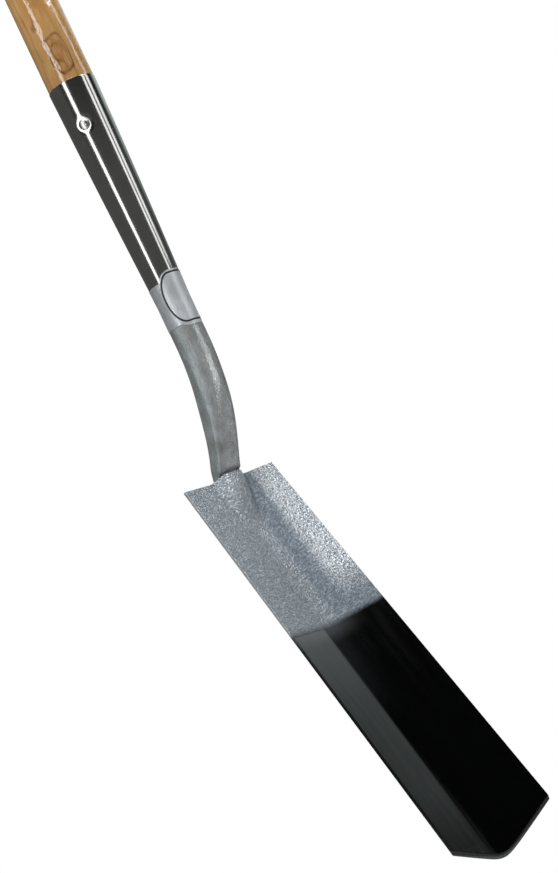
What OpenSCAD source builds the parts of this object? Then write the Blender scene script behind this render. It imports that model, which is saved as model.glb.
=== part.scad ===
// Trenching spade: a long ash handle riveted into a steel socket, a bent steel neck
// and a narrow dished blade that is welded to the flattened tail of the neck.
// The handle's axis is +Z, the hollow face of the blade looks to -Y,
// and the origin is the centre of the socket's mouth.

/* [Handle] */
// Diameter of the ash shaft
handle_d = 38; // [32:0.5:44]
// Length of the shaft above the socket's mouth
handle_len = 950; // [600:10:1400]
// Rounding of the free end
handle_end_r = 13; // [4:0.5:15]
// Length of the tapered tenon inside the socket
tenon_len = 150; // [80:5:170]

/* [Socket] */
// Length of the conical socket
socket_len = 190; // [175:1:260]
// Step of the socket's mouth above the shaft
socket_lip = 0.4; // [0.1:0.1:1.2]
// Thickness of the socket's wall
socket_wall = 1.8; // [1:0.1:3]
// Swell of the socket's side halfway down
socket_swell = 0.35; // [0:0.05:1]
// Gap between the tenon and the socket's wall
tenon_clearance = 0.15; // [0.05:0.05:0.5]

/* [Rivet] */
// Diameter of the rivet's shank
rivet_d = 5; // [3:0.5:8]
// Diameter of the rivet's head
rivet_head_d = 8.6; // [7.6:0.2:14]
// Height of the rivet's head above the socket
rivet_head_h = 0.8; // [0.6:0.1:3]
// Drop of the rivet below the socket's mouth
rivet_drop = 37; // [20:1:70]
// Turn of the rivet from the front to the left side, in degrees
rivet_turn = 58; // [0:1:90]
// Gap around the rivet's shank
rivet_clearance = 0.1; // [0.05:0.05:0.3]

/* [Neck] */
// Diameter of the neck's tube
neck_d = 26.8; // [22:0.2:32]
// Thickness of the neck's wall
neck_wall = 2.2; // [1.5:0.1:3]
// Straight length below the socket
neck_straight = 32; // [28:1:60]
// Radius of the long backward bend
neck_bend_r = 205; // [150:5:300]
// Angle of the backward bend, in degrees
neck_bend = 28; // [20:1:34]
// Radius of the short bend that turns the tail along the blade
neck_return_r = 40; // [34:1:60]
// Half width of the squared tube above the blade
neck_square_w = 11.6; // [10:0.2:13]
// Depth of the squared tube behind its axis
neck_square_back = 8.4; // [7.5:0.1:10]
// Depth of the squared tube in front of its axis
neck_square_front = 6.5; // [5:0.1:9]
// Length of the flattened tail below the short bend
tail_len = 50; // [35:1:60]
// Half width of the tail at its end
tail_end_w = 9; // [6:0.2:11]

/* [Blade] */
// Width across the top edge
blade_top_w = 98; // [85:1:130]
// Width across the lower corners
blade_end_w = 117; // [95:1:150]
// Length from the top edge to the lower corners
blade_len = 340; // [260:5:420]
// Length of the point below the corners
blade_point = 17; // [4:0.5:40]
// Thickness of the sheet
blade_t = 2.4; // [1.6:0.1:3]
// Lean of the blade to the front, in degrees
blade_tilt = 18; // [12:0.5:24]
// Slope of the wings at the top edge, in degrees
dish_top = 5; // [3:0.5:8]
// Slope of the wings at the middle of the blade, in degrees
dish_middle = 14; // [10:0.5:18]
// Slope of the wings at the lower corners, in degrees
dish_end = 17; // [14:0.5:28]
// Length below the top edge over which the wings fold to their middle slope
dish_run = 170; // [120:5:220]
// Length above the corners over which the wings fold further
flare_len = 200; // [60:5:240]
// Radius of the trough between the wings
dish_r = 52; // [20:1:70]
// Length of the ground edge
bevel_len = 3; // [2:0.5:10]
// Thickness of the cutting edge
bevel_edge = 0.9; // [0.5:0.1:1.5]

/* [Frog] */
// Height of the pressed frog at the top edge
frog_h = 10.5; // [9:0.1:13]
// Half width of the frog at the top edge
frog_w = 20; // [16:0.5:26]
// Length of the frog down the blade
frog_len = 48; // [30:1:70]

/* [Welds] */
// Distance of the welds' upper ends below the top edge
weld_top = 12; // [8:1:20]
// Width of a weld bead on the blade
weld_w = 5; // [3:0.5:7]

/* [Label] */
// Height of the band above the socket's lower end
band_above = 15; // [6:0.5:30]
// Drop of the band below the socket's lower end
band_below = 21; // [8:0.5:22]
// Half width of the badge
badge_w = 11.8; // [8:0.2:13.2]
// Rise of the badge above the band
badge_rise = 7.5; // [2:0.5:12]
// Drop of the badge below the band
badge_drop = 3; // [1:0.5:6]
// Corner rounding of the badge
badge_r = 7; // [3:0.5:10]
// Thickness of the foil
label_t = 0.25; // [0.1:0.05:0.5]

/* [Hidden] */
$fn = 64;

// Gap between the blade, the neck's tail and the welds
seat_gap = 0.25;
// Gap between the foil and the steel under it
foil_gap = 0.05;

// Radii of the handle, the socket's mouth and the neck
handle_r = handle_d / 2;
mouth_r = handle_r + socket_lip;
neck_r = neck_d / 2;

// Shares of the socket's length where its side changes slope
socket_shares = [0, 0.2, 0.4, 0.6, 0.8, 1];
function mix(a, b, share) = a + (b - a) * share;
// Parabola that is 0 at both ends and 1 in the middle
function hump(share) = 4 * share * (1 - share);
function socket_r(share) = mix(mouth_r, neck_r, share) + socket_swell * hump(share);
// Fall of the rivet's dome at its rim, as a share of the head's height
rivet_sag_share = 1.25;
// Outer radius of the socket or of the neck's straight top at a drop below the mouth
function outer_r(drop) = drop < socket_len ? socket_r(drop / socket_len) : neck_r;

// Steps, sides and squareness of the neck's sections
neck_sides = 36;
bend_steps = 14;
return_steps = 10;
tail_steps = 10;
// Power of a round and of a squared section
round_power = 2;
square_power = 4.5;
// Share of the long bend where the tube starts to be squared
square_from_share = 0.3;

// The neck's route in the YZ plane: where the long bend starts and ends
bend_top = [0, -socket_len - neck_straight];
bend_end = bend_top + neck_bend_r * [1 - cos(neck_bend), -sin(neck_bend)];
// A point on the short bend, whose direction has turned to the given lean
function return_point(lean) =
    bend_end + neck_return_r * [cos(lean) - cos(neck_bend), sin(lean) - sin(neck_bend)];
tail_top = return_point(-blade_tilt);
// Directions down the blade and out of its hollow face
down = [-sin(blade_tilt), -cos(blade_tilt)];
front = [-cos(blade_tilt), sin(blade_tilt)];

// Place of the tail on the blade: below the top edge and behind the plane of the edges
tail_drop = 19.5;
tail_depth = 5.8;
blade_origin = tail_top - tail_drop * down + tail_depth * front;

// Half width of the blade and slope of its wings at a distance below the top edge
function blade_half(l) = mix(blade_top_w, blade_end_w, l / blade_len) / 2;
dish_power = 1.9;
function dish_slope(l) =
    mix(dish_top, dish_middle, 1 - pow(1 - min(l / dish_run, 1), dish_power))
    + (dish_end - dish_middle) * max(1 - (blade_len - min(l, blade_len)) / flare_len, 0);
// Depth of the hollow face behind the line across the edges, without the frog
function dish(w, l) =
    let (a = dish_slope(l), h = blade_half(l) * tan(a))
    abs(w) < dish_r * sin(a)
        ? h - dish_r / cos(a) + sqrt(dish_r * dish_r - w * w)
        : h - abs(w) * tan(a);
// Share of the frog's width that is flat, and of its width that is left at its end
frog_flat_share = 0.3;
frog_end_share = 0.35;
function ease(share) = let (s = min(max(share, 0), 1)) s * s * (3 - 2 * s);
function frog(w, l) =
    let (run = min(l / frog_len, 1), half = frog_w * mix(1, frog_end_share, run))
    frog_h * (1 - ease(run)) * (1 - ease((abs(w) / half - frog_flat_share) / (1 - frog_flat_share)));
function front_depth(w, l) = dish(w, l) - frog(w, l);
function back_depth(w, l) = front_depth(w, max(l, 0)) + blade_t;

// Rows and columns of the blade's two faces
blade_rows = 40;
blade_cols = 44;
// Power that draws the rows together near the top edge
row_power = 1.4;
bevel_share = bevel_len / blade_len;
row_shares = [for (i = [0 : blade_rows]) (1 - bevel_share) * pow(i / blade_rows, row_power), 1];
// Share of the blade's half width over which the point is rounded
point_round_share = 0.17;
function point_share(side) =
    1 - (norm([side, point_round_share]) - point_round_share) / (norm([1, point_round_share]) - point_round_share);
function blade_end(side) = blade_len + blade_point * point_share(side);

function blade_spot(share, side, is_back) =
    let (
        l = share * blade_end(side),
        w = side * blade_half(min(l, blade_len)),
        ground = share == 1 ? blade_t - bevel_edge : 0
    )
    [w, is_back ? back_depth(w, l) : front_depth(w, l) + ground, -l];

// Two triangles of a four-cornered face
function quad(a, b, c, d) = [[a, b, c], [a, c, d]];

// Lean of the route and place of each ring of the neck: [point, lean, half width, front, back, power]
function ring(p, lean, w, f, b, power) = [p, lean, w, f, b, power];
round_ring = [neck_r, neck_r, neck_r, round_power];
squared_ring = [neck_square_w, neck_square_front, neck_square_back, square_power];
function bend_ring(share) =
    let (
        lean = neck_bend * share,
        s = ease((share - square_from_share) / (1 - square_from_share)),
        r = mix(round_ring, squared_ring, s)
    )
    ring(bend_top + neck_bend_r * [1 - cos(lean), -sin(lean)], lean, r[0], r[1], r[2], r[3]);
function return_ring(share) =
    let (lean = mix(neck_bend, -blade_tilt, share))
    ring(return_point(lean), lean, neck_square_w, neck_square_front, neck_square_back, square_power);
function tail_half(share) = mix(neck_square_w, tail_end_w, ease(share));
function tail_ring(share) =
    ring(tail_top + tail_len * share * down, -blade_tilt, tail_half(share),
        neck_square_front, neck_square_back, square_power);
neck_rings = concat(
    [ring([0, -socket_len], 0, neck_r, neck_r, neck_r, round_power)],
    [for (i = [0 : bend_steps]) bend_ring(i / bend_steps)],
    [for (i = [1 : return_steps]) return_ring(i / return_steps)],
    [for (i = [1 : tail_steps]) tail_ring(i / tail_steps)]
);
bore_rings = [for (i = [0 : bend_steps + 1]) neck_rings[i]];

// A point pushed back until it lies behind the blade, or a lift further back
function behind_blade(p, lift) =
    let (
        from_origin = [p[1], p[2]] - blade_origin,
        l = from_origin * down,
        d = -from_origin * front,
        push = l > -blade_t ? max(back_depth(p[0], l) + seat_gap + lift - d, 0) : 0
    )
    [p[0], p[1] - push * front[0], p[2] - push * front[1]];
function swing(v, power) = sign(v) * pow(abs(v), 2 / power);
function ring_spot(r, turn, wall) =
    let (
        x = (r[2] - wall) * swing(cos(turn), r[5]),
        rise = swing(sin(turn), r[5]),
        p = r[0] + rise * (rise > 0 ? r[4] - wall : r[3] - wall) * [cos(r[1]), sin(r[1])]
    )
    behind_blade([x, p[0], p[1]], max(rise, 0) * neck_wall);
function ring_spots(rings, wall) =
    [for (r = rings, k = [0 : neck_sides - 1]) ring_spot(r, k * 360 / neck_sides, wall)];
function tube_faces(count, first, inward) =
    [for (i = [0 : count - 2], k = [0 : neck_sides - 1])
        let (
            n = (k + 1) % neck_sides,
            a = first + i * neck_sides + k,
            b = first + i * neck_sides + n,
            c = b + neck_sides,
            d = a + neck_sides
        )
        each inward ? quad(a, d, c, b) : quad(a, b, c, d)];
// Fan of triangles that closes a ring, seen from its back centre
function cap_faces(first, upward) =
    [for (k = [1 : neck_sides - 2])
        let (
            hub = neck_sides / 4,
            a = first + (hub + k) % neck_sides,
            b = first + (hub + k + 1) % neck_sides
        )
        upward ? [first + hub, b, a] : [first + hub, a, b]];
function rim_faces(first) =
    [for (k = [0 : neck_sides - 1])
        let (n = (k + 1) % neck_sides)
        each quad(k, first + k, first + n, n)];

// Weld beads along both sides of the tail
weld_rows = 16;
// Shares of the tail's side that a bead climbs, and of its width where its face bulges
weld_climb_share = 0.8;
weld_bulge_shares = [0.55, 0.7];
weld_end = tail_drop + tail_len;
function weld_section(l) =
    let (
        w = tail_half(max(l - tail_drop, 0) / tail_len) + seat_gap,
        root = back_depth(w, l) + seat_gap,
        climb = (tail_depth + neck_square_back - root) * weld_climb_share,
        toe = w + weld_w,
        bulge_w = w + weld_w * weld_bulge_shares[0]
    )
    [
        [w, root, -l],
        [w, root + climb, -l],
        [bulge_w, back_depth(bulge_w, l) + seat_gap + climb * weld_bulge_shares[1], -l],
        [toe, back_depth(toe, l) + seat_gap + climb * (1 - weld_climb_share), -l],
        [toe, back_depth(toe, l) + seat_gap, -l],
        [bulge_w, back_depth(bulge_w, l) + seat_gap, -l]
    ];

module ash() color([0.76, 0.55, 0.33]) children();
module polished_steel() color([0.55, 0.55, 0.54]) children();
module grey_paint() color([0.50, 0.53, 0.55]) children();
module foil() color([0.78, 0.79, 0.80]) children();

// Stands children on the blade: +X across, +Y behind the hollow face, -Z down the blade
module on_blade() translate([0, blade_origin[0], blade_origin[1]]) rotate([-blade_tilt, 0, 0]) children();

// Turns children so that their +Z runs out through the rivet's head
module on_rivet() translate([0, 0, -rivet_drop]) rotate([90, 0, -rivet_turn]) children();

// Solid of revolution inside the socket's outer side, drawn in by an inset, down to a depth
module socket_core(inset, depth) {
    share = depth / socket_len;
    stops = [for (s = socket_shares) if (s < share) s, share];
    rotate_extrude()
        polygon(concat(
            [[0, -depth], [0, 0]],
            [for (s = stops) [socket_r(s) - inset, -s * socket_len]]
        ));
}

module rivet_hole() on_rivet() cylinder(r = rivet_d / 2 + rivet_clearance, h = handle_d * 2, center = true);

module handle_side() {
    flat_r = handle_r - handle_end_r;
    square([handle_r, handle_len - handle_end_r]);
    square([flat_r, handle_len]);
    intersection() {
        translate([flat_r, handle_len - handle_end_r]) circle(handle_end_r);
        square([handle_r, handle_len]);
    }
}

module handle() ash() difference() {
    union() {
        rotate_extrude() handle_side();
        socket_core(socket_wall + tenon_clearance, tenon_len);
    }
    rivet_hole();
}

module socket() polished_steel() difference() {
    rotate_extrude()
        polygon(concat(
            [for (s = socket_shares) [socket_r(s), -s * socket_len]],
            [for (s = socket_shares) [socket_r(1 - s) - socket_wall, (s - 1) * socket_len]]
        ));
    rivet_hole();
}

// Low dome over the socket's side, from the shank out to the head's rim
module rivet_dome() {
    reach = outer_r(rivet_drop) + rivet_head_h;
    sag = rivet_head_h * rivet_sag_share;
    dome_r = (rivet_head_d * rivet_head_d / 4 + sag * sag) / (2 * sag);
    intersection() {
        translate([0, 0, reach - dome_r]) sphere(dome_r);
        cylinder(r = rivet_head_d / 2, h = reach);
    }
}

module rivet() polished_steel() {
    difference() {
        on_rivet() {
            rivet_dome();
            mirror([0, 0, 1]) rivet_dome();
        }
        socket_core(-rivet_clearance, socket_len);
    }
    on_rivet() cylinder(r = rivet_d / 2, h = outer_r(rivet_drop) * 2 + rivet_head_h, center = true);
}

module neck() grey_paint() {
    outer = len(neck_rings) * neck_sides;
    polyhedron(
        points = concat(ring_spots(neck_rings, 0), ring_spots(bore_rings, neck_wall)),
        faces = concat(
            tube_faces(len(neck_rings), 0, false),
            cap_faces(outer - neck_sides, false),
            rim_faces(outer),
            tube_faces(len(bore_rings), outer, true),
            cap_faces(outer + (len(bore_rings) - 1) * neck_sides, true)
        )
    );
}

module blade() grey_paint() on_blade() {
    rows = len(row_shares);
    across = blade_cols + 1;
    face = rows * across;
    polyhedron(
        points = [for (back = [false, true], s = row_shares, j = [0 : blade_cols])
            blade_spot(s, 2 * j / blade_cols - 1, back)],
        faces = concat(
            [for (i = [0 : rows - 2], j = [0 : blade_cols - 1])
                let (a = i * across + j, d = a + across)
                each concat(quad(a, a + 1, d + 1, d), quad(face + a, face + d, face + d + 1, face + a + 1))],
            [for (j = [0 : blade_cols - 1])
                let (a = j, d = (rows - 1) * across + j)
                each concat(quad(a, face + a, face + a + 1, a + 1), quad(d, d + 1, face + d + 1, face + d))],
            [for (i = [0 : rows - 2])
                let (a = i * across, b = a + across, c = a + blade_cols, d = b + blade_cols)
                each concat(quad(a, b, face + b, face + a), quad(c, face + c, face + d, d))]
        )
    );
}

module weld_bead() on_blade() {
    corners = len(weld_section(weld_top));
    last = weld_rows * corners;
    polyhedron(
        points = [for (i = [0 : weld_rows]) each weld_section(mix(weld_top, weld_end, i / weld_rows))],
        faces = concat(
            [for (i = [0 : weld_rows - 1], k = [0 : corners - 1])
                let (a = i * corners + k, b = i * corners + (k + 1) % corners)
                each quad(a, a + corners, b + corners, b)],
            [for (k = [1 : corners - 2]) [0, k, k + 1]],
            [for (k = [1 : corners - 2]) [last, last + k + 1, last + k]]
        )
    );
}

module weld_right() grey_paint() weld_bead();

module weld_left() grey_paint() mirror([1, 0, 0]) weld_bead();

// Thin shell that reaches above and below the joint of the socket and the neck
module foil_band(above, below) {
    inner = [for (d = [socket_len - above, socket_len, socket_len + below]) [outer_r(d) + foil_gap, -d]];
    outer = [for (i = [2 : -1 : 0]) inner[i] + [label_t, 0]];
    rotate_extrude() polygon(concat(inner, outer));
}

module badge_outline() {
    top = band_above + badge_rise - socket_len;
    bottom = -band_below - badge_drop - socket_len;
    for (x = [badge_r - badge_w, badge_w - badge_r], z = [bottom + badge_r, top - badge_r])
        translate([x, z]) circle(badge_r);
    translate([-badge_w, bottom + badge_r]) square([badge_w * 2, top - bottom - badge_r * 2]);
    translate([badge_r - badge_w, bottom]) square([(badge_w - badge_r) * 2, top - bottom]);
}

module label() foil() {
    foil_band(band_above, band_below);
    intersection() {
        foil_band(band_above + badge_rise, band_below + badge_drop);
        rotate([90, 0, 0]) linear_extrude(handle_d) badge_outline();
    }
}

handle();
socket();
rivet();
neck();
blade();
weld_left();
weld_right();
label();
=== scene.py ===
import math

import bmesh
import bpy
from bpy.props import FloatProperty, FloatVectorProperty, PointerProperty
from mathutils import Matrix, Vector


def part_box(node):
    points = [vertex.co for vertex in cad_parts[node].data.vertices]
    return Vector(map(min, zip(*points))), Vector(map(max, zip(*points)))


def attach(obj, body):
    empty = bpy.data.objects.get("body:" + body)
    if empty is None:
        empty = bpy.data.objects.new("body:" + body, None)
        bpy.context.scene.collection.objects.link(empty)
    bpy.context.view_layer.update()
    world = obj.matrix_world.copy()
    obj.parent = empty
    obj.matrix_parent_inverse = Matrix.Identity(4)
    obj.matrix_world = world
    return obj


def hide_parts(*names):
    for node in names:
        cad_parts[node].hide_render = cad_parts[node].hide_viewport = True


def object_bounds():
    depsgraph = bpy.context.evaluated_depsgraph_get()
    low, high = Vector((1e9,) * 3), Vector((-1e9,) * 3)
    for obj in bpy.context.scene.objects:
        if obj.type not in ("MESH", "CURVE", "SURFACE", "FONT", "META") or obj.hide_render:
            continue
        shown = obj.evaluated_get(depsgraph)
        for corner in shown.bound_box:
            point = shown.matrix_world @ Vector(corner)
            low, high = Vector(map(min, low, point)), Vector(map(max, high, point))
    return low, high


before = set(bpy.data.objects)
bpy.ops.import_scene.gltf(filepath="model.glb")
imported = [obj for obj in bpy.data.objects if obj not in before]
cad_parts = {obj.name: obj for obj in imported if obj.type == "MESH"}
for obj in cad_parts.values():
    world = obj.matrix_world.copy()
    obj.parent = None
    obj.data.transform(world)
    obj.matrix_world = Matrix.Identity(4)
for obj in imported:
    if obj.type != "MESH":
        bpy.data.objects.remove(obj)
CAD_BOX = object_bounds()

bl_info = {
    "name": "Trenching Spade",
    "version": (1, 0, 0),
    "blender": (4, 5, 0),
    "location": "3D View > Sidebar > Spade",
    "description": "Builds the finished pieces of a trenching spade over its construction model",
    "category": "Object",
}

# Lengths of the shapes below are in millimetres, angles in degrees
MM = 0.001
BODY = "root"

# Handle and socket
HANDLE_R = 19.0
HANDLE_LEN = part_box("handle")[1].z / MM
HANDLE_END_R = 13.0
HANDLE_RINGS = (60, 160, 300, 450, 600, 750, 860)
# Rounded shoulder at the mouth: distance in from the shaft's side, and height
SHOULDER = ((0.8, 0.02), (0.25, 0.2), (0.0, 0.8))
TENON_LEN = 150.0
SOCKET_LEN = 190.0
SOCKET_WALL = 1.8
SOCKET_SWELL = 0.35
TENON_INSET = 1.95
MOUTH_R = 19.4
NECK_R = 13.4

# Rivet
RIVET_R = 2.5
RIVET_GAP = 0.1
RIVET_HEAD_R = 4.3
RIVET_HEAD_H = 1.2
RIVET_DOME = 0.8
RIVET_RIM = 0.26
RIVET_DROP = 37.0
RIVET_TURN = 58.0
DIMPLE_FLAT_R = 3.4
DIMPLE_SPAN = 12.0
DIMPLE_ROWS = 20
NEAR_RIVET = [RIVET_DROP + DIMPLE_SPAN * (2 * i / DIMPLE_ROWS - 1) for i in range(DIMPLE_ROWS + 1)]

# Neck
NECK_WALL = 2.2
NECK_STRAIGHT = 32.0
BEND_R = 205.0
BEND = 28.0
RETURN_R = 40.0
SQUARE_W = 11.6
SQUARE_BACK = 8.4
SQUARE_FRONT = 6.5
TAIL_LEN = 50.0
TAIL_END_W = 9.0
ROUND_POWER = 2.0
SQUARE_POWER = 4.5
SQUARE_FROM_SHARE = 0.3
TAIL_DROP = 19.5
TAIL_DEPTH = 5.8
SEAT_GAP = 0.25

# Blade
BLADE_TOP_W = 98.0
BLADE_END_W = 117.0
BLADE_LEN = 340.0
BLADE_POINT = 17.0
BLADE_T = 2.4
TILT = 18.0
DISH_TOP = 5.0
DISH_MIDDLE = 14.0
DISH_END = 17.0
DISH_RUN = 170.0
FLARE_LEN = 200.0
DISH_R = 52.0
DISH_POWER = 1.9
BEVEL_LEN = 3.0
BEVEL_EDGE = 0.9
POINT_ROUND = 0.17
FROG_H = 10.5
FROG_W = 20.0
FROG_LEN = 48.0
FROG_FLAT = 0.3
FROG_END = 0.35

# Rows down the blade's grid: past the frog, down the face, near the ground edge and on it
FROG_SHARE = 0.18
FROG_ROWS = 62
FACE_ROWS = 70
NEAR_BEVELS = 4
NEAR_ROWS = 12
BEVEL_ROWS = 8

# Painted highlight and painted shade on the hollow face, as (start, run) across or down the blade
PAINTED_GLINT_ACROSS = (22.0, 14.0)
PAINTED_GLINT_DOWN = (98.0, 34.0)
PAINTED_SHADE_ACROSS = (2.0, 10.0)
PAINTED_SHADE_END = (19.0, 10.0)
PAINTED_SHADE_SHARE = 0.8
# Painted highlight on the frog's top
FROG_GLINT_MIDDLE = -7.0
FROG_GLINT_HALF = 10.0
FROG_GLINT_DOWN = (10.0, 26.0)
FROG_GLINT_SHARE = 0.35
# Worn rim, and the ground strip's width at the point and at the corners as shares of the bevel
WORN_RIM = 1.0
STRIP_POINT = 1.1
STRIP_CORNER = 0.30

# Welds and label
WELD_TOP = 12.0
WELD_W = 5.0
WELD_CLIMB = 0.8
WELD_SKIN = 0.6
WELD_BULGE = 0.12
WELD_END = 0.05
BAND_ABOVE = 15.0
BAND_BELOW = 21.0
BADGE_W = 11.8
BADGE_RISE = 7.5
BADGE_DROP = 3.0
BADGE_R = 7.0
FOIL_T = 0.25
FOIL_GAP = 0.05
# Dark line on the badge: half of its straight part, length of its round ends, half height
LINE_STRAIGHT = 5.6
LINE_END = 10.7
LINE_TALL = 20.5

# Grain of the wood: centre of the rings, then the flame's turn to the left in radians, its height
# above the socket and its half sizes
PITH = (40.0, 36.0)
FLAME_TURN = 0.67
FLAME_UP = 23.4
FLAME_HALF_W = 7.7
FLAME_HALF_H = 18.0

# Points closer than this are merged
MERGE = 0.002
# Steps round or across each piece, and rows or rings along it
ROUND_STEPS = 128
RIVET_STEPS = 48
NECK_STEPS = 80
STRAIGHT_RINGS = 10
BEND_RINGS = 48
RETURN_RINGS = 24
TAIL_RINGS = 30
BLADE_STEPS = 96
WELD_STEPS = 20
WELD_ROWS = 90
FOIL_STEPS = 240
FOIL_ROWS = 20


def mix(a, b, share):
    return a + (b - a) * share


def ease(share):
    s = min(max(share, 0.0), 1.0)
    return s * s * (3 - 2 * s)


def sin(angle):
    return math.sin(math.radians(angle))


def cos(angle):
    return math.cos(math.radians(angle))


# Directions down the blade and out of its hollow face, as (y, z)
DOWN = (-sin(TILT), -cos(TILT))
FRONT = (-cos(TILT), sin(TILT))
BEND_TOP = (0.0, -SOCKET_LEN - NECK_STRAIGHT)
BEND_END = (BEND_R * (1 - cos(BEND)), BEND_TOP[1] - BEND_R * sin(BEND))


def return_point(lean):
    """Place on the short bend whose direction has turned to the given lean, as (y, z)."""
    return (
        BEND_END[0] + RETURN_R * (cos(lean) - cos(BEND)),
        BEND_END[1] + RETURN_R * (sin(lean) - sin(BEND)),
    )


TAIL_TOP = return_point(-TILT)
BLADE_ORIGIN = tuple(TAIL_TOP[i] - TAIL_DROP * DOWN[i] + TAIL_DEPTH * FRONT[i] for i in (0, 1))


def on_blade(across, behind, below):
    """Place in the object's frame of a place on the blade."""
    return (
        across,
        BLADE_ORIGIN[0] + DOWN[0] * below - FRONT[0] * behind,
        BLADE_ORIGIN[1] + DOWN[1] * below - FRONT[1] * behind,
    )


def socket_r(drop):
    """Outer radius of the socket at a drop below its mouth."""
    share = drop / SOCKET_LEN
    return mix(MOUTH_R, NECK_R, share) + SOCKET_SWELL * 4 * share * (1 - share)


def outer_r(drop):
    return socket_r(drop) if drop < SOCKET_LEN else NECK_R


def blade_half(below):
    return mix(BLADE_TOP_W, BLADE_END_W, min(below, BLADE_LEN) / BLADE_LEN) / 2


def dish(across, below):
    """Depth of the hollow face behind the line across the blade's edges."""
    share = min(max(below / DISH_RUN, 0), 1)
    slope = mix(DISH_TOP, DISH_MIDDLE, 1 - (1 - share) ** DISH_POWER)
    slope += (DISH_END - DISH_MIDDLE) * max(1 - (BLADE_LEN - min(below, BLADE_LEN)) / FLARE_LEN, 0)
    deep = blade_half(below) * math.tan(math.radians(slope))
    if abs(across) < DISH_R * sin(slope):
        return deep - DISH_R / cos(slope) + math.sqrt(DISH_R**2 - across**2)
    return deep - abs(across) * math.tan(math.radians(slope))


def frog(across, below):
    """Height of the pressed frog above the hollow face."""
    run = min(max(below, 0) / FROG_LEN, 1)
    half = FROG_W * mix(1, FROG_END, run)
    return FROG_H * (1 - ease(run)) * (1 - ease((abs(across) / half - FROG_FLAT) / (1 - FROG_FLAT)))


def face_depth(across, below):
    return dish(across, below) - frog(across, below)


def back_depth(across, below):
    return face_depth(across, max(below, 0)) + BLADE_T


def blade_end(side):
    """Distance of the cutting edge below the top edge, for a share of the half width."""
    whole = math.hypot(1, POINT_ROUND) - POINT_ROUND
    return BLADE_LEN + BLADE_POINT * (1 - (math.hypot(side, POINT_ROUND) - POINT_ROUND) / whole)


# Modelling helpers

def start_piece(name):
    """Names the primitive that was just added."""
    piece = bpy.context.object
    piece.name = piece.data.name = name
    return piece


def clear_selection():
    if bpy.context.mode != "OBJECT":
        bpy.ops.object.mode_set(mode="OBJECT")
    bpy.ops.object.select_all(action="DESELECT")


def select_only(piece):
    clear_selection()
    piece.select_set(True)
    bpy.context.view_layer.objects.active = piece


def lathe(name, side, steps):
    """Spins a side, drawn as (radius, height) points, round the Z axis."""
    clear_selection()
    bpy.ops.mesh.primitive_plane_add(size=MM)
    piece = start_piece(name)
    bpy.ops.object.mode_set(mode="EDIT")
    bpy.ops.mesh.merge(type="CENTER")
    bpy.ops.transform.translate(value=(side[0][0] * MM, 0, side[0][1] * MM))
    for (r0, z0), (r1, z1) in zip(side, side[1:]):
        move = ((r1 - r0) * MM, 0, (z1 - z0) * MM)
        bpy.ops.mesh.extrude_region_move(TRANSFORM_OT_translate={"value": move})
    bpy.ops.mesh.select_all(action="SELECT")
    bpy.ops.mesh.spin(steps=steps, angle=math.tau, center=(0, 0, 0), axis=(0, 0, 1))
    leave()
    close_seam(piece)
    return piece


def sheet(name, columns, rows, spot):
    """Lays a grid whose points are moved to spot(share across, share down)."""
    clear_selection()
    bpy.ops.mesh.primitive_grid_add(x_subdivisions=columns, y_subdivisions=rows, size=1)
    piece = start_piece(name)
    for vertex in piece.data.vertices:
        place = spot(vertex.co.x + 0.5, vertex.co.y + 0.5)
        vertex.co = Vector(place) * MM
    return piece


def edit(piece, mode):
    """Opens a piece with the given select mode and nothing selected."""
    select_only(piece)
    bpy.ops.object.mode_set(mode="EDIT")
    bpy.ops.mesh.select_mode(type=mode)
    bpy.ops.mesh.select_all(action="DESELECT")


def leave():
    bpy.ops.object.mode_set(mode="OBJECT")


def face_outwards():
    """Turns all faces of the piece that is being edited outwards."""
    bpy.ops.mesh.select_all(action="SELECT")
    bpy.ops.mesh.normals_make_consistent(inside=False)


def close_seam(piece):
    """Merges the edges that meet in a spun piece or a wrapped sheet."""
    edit(piece, "VERT")
    bpy.ops.mesh.select_all(action="SELECT")
    bpy.ops.mesh.remove_doubles(threshold=MERGE * MM)
    face_outwards()
    leave()


def fill_ends(piece):
    """Closes every open loop of a piece with a face."""
    edit(piece, "EDGE")
    bpy.ops.mesh.select_non_manifold(extend=False)
    bpy.ops.mesh.edge_face_add()
    face_outwards()
    leave()


def bore(piece, reach):
    """Cuts the rivet's hole through a piece with a rod that is then deleted."""
    clear_selection()
    radius = (RIVET_R + RIVET_GAP) * MM
    bpy.ops.mesh.primitive_cylinder_add(vertices=32, radius=radius, depth=reach * MM)
    rod = start_piece("hole_rod")
    rod.matrix_world = rivet_place()
    bpy.context.view_layer.update()
    cut = piece.modifiers.new("hole", "BOOLEAN")
    cut.operation = "DIFFERENCE"
    cut.object = rod
    select_only(piece)
    bpy.ops.object.modifier_apply(modifier="hole")
    bpy.data.objects.remove(rod, do_unlink=True)


def rivet_place():
    """Frame whose +Z runs out through the rivet's head."""
    out = Vector((-sin(RIVET_TURN), -cos(RIVET_TURN), 0))
    turn = out.to_track_quat("Z", "Y").to_matrix().to_4x4()
    return Matrix.Translation((0, 0, -RIVET_DROP * MM)) @ turn


def finish_piece(piece, material, slot, smooth, *nodes):
    """Gives a piece its shading, finish and body, and sets it in place of its CAD nodes. The slot
    is not used.
    """
    select_only(piece)
    bpy.ops.object.shade_smooth_by_angle(angle=math.radians(smooth))
    piece.data.materials.clear()
    piece.data.materials.append(material)
    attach(piece, BODY)
    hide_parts(*nodes)


# Node helpers

def fill(tree, node, inputs):
    """Sets a node's inputs to values, or links them."""
    for name, value in inputs.items():
        if isinstance(value, bpy.types.NodeSocket):
            tree.links.new(value, node.inputs[name])
        else:
            node.inputs[name].default_value = value


def put(tree, kind, inputs=None, **settings):
    """Adds a node with its settings and inputs."""
    node = tree.nodes.new(kind)
    for name, value in settings.items():
        setattr(node, name, value)
    fill(tree, node, inputs or {})
    return node


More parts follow.
